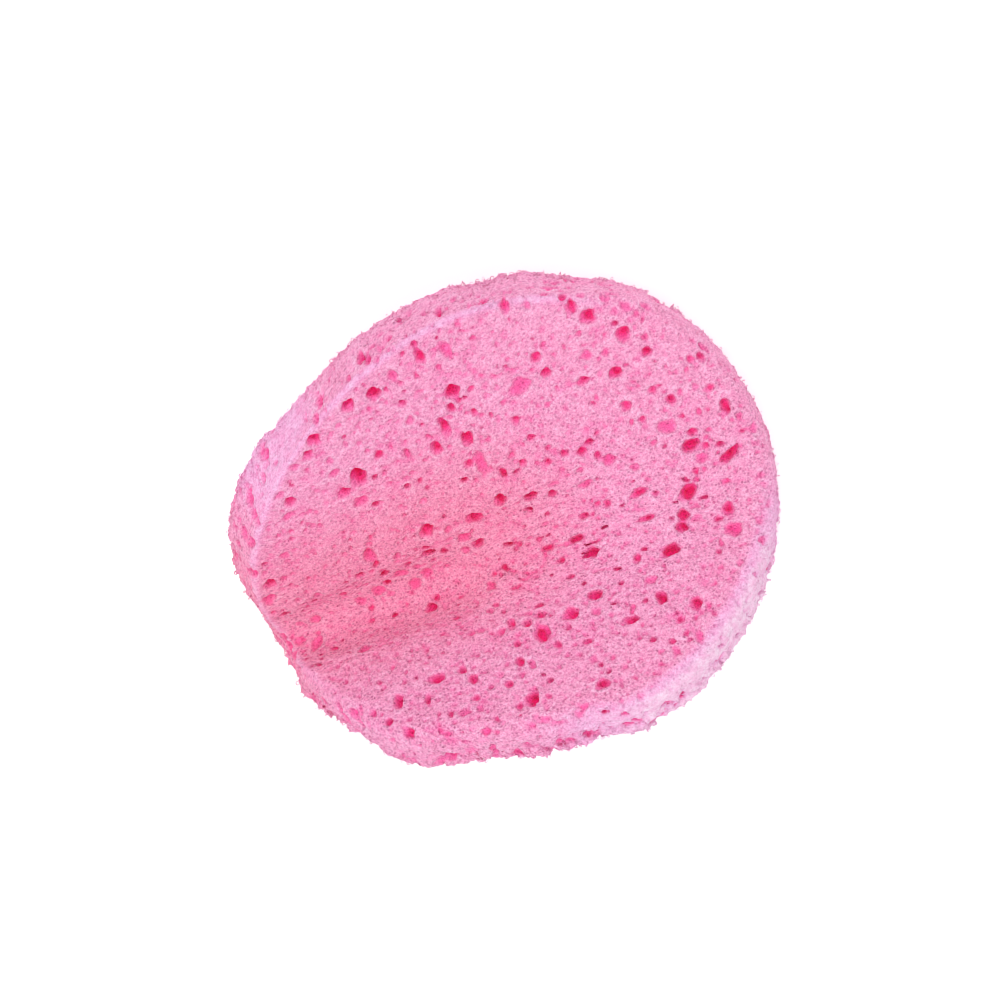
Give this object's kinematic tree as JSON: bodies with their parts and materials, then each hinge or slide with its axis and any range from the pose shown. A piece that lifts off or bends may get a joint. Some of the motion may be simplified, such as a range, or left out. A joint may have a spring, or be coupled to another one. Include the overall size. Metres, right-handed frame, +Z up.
{
  "type": "cleansing sponge",
  "caption": "Round pink foam sponge for washing the face, softly folded around the hollow where it is pinched, with open pores all over",
  "frame": {"origin": "under the middle of the sponge's box, on the surface it lies on", "axes": "+X along the fold to its open end, +Y to the upper flap, +Z up from the surface to the front of the sponge"},
  "size_m": [0.0828, 0.0706, 0.0263],
  "materials": {
    "pink_foam": "matte"
  },
  "bodies": {
    "root": {"sponge": "pink_foam"}
  },
  "joints": []
}
